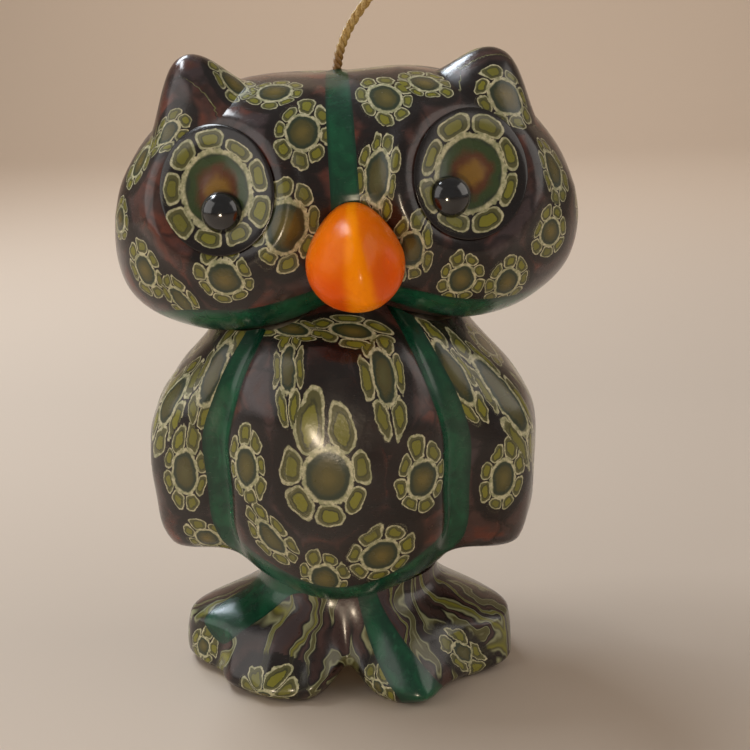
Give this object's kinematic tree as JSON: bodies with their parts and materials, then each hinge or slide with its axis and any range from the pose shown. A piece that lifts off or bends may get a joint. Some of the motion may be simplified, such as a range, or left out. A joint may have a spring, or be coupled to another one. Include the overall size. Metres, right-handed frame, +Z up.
{
  "type": "owl figure candle",
  "caption": "Hand-moulded owl candle with a patterned hard-wax skin over a plain wax core, an orange beak, sunken flower eyes and a waxed cotton wick rising from the crown",
  "frame": {"origin": "middle of the box under the feet, on the floor plane", "axes": "+Z up, the owl faces -Y, +X is the owl's left side (the right of the picture)"},
  "size_m": [0.0967, 0.0706, 0.1553],
  "materials": {
    "core_wax": "plain cast wax, slightly dull",
    "patterned_wax": "polished hard wax with flower slices in cream, olive and dark brown",
    "green_wax": "polished dark green wax",
    "eye_wax": "polished flower slice in cream and olive",
    "black_wax": "glossy black wax bead",
    "orange_wax": "glossy orange wax",
    "wick_cotton": "twisted cotton soaked in wax"
  },
  "bodies": {
    "root": {"head_core": "core_wax", "body_core": "core_wax", "feet_core": "core_wax", "wick_buried": "wick_cotton", "wick": "wick_cotton", "brow_band": "green_wax", "face_sheet_left": "patterned_wax", "face_sheet_right": "patterned_wax", "head_back_sheet": "patterned_wax", "chin_sheet": "patterned_wax", "jaw_band_left": "green_wax", "jaw_band_right": "green_wax", "eye_slice_left": "eye_wax", "eye_slice_right": "eye_wax", "pupil_left": "black_wax", "pupil_right": "black_wax", "beak": "orange_wax", "ear_tuft_left": "patterned_wax", "ear_tuft_right": "patterned_wax", "breast_sheet": "patterned_wax", "wing_left": "patterned_wax", "wing_right": "patterned_wax", "wing_band_left": "green_wax", "wing_band_right": "green_wax", "back_sheet": "patterned_wax", "belly_hem": "green_wax", "foot_sheet_left": "patterned_wax", "foot_sheet_right": "patterned_wax", "toe_band": "green_wax", "leg_band": "green_wax", "instep_sheet": "patterned_wax", "heel_sheet": "patterned_wax"}
  },
  "joints": []
}
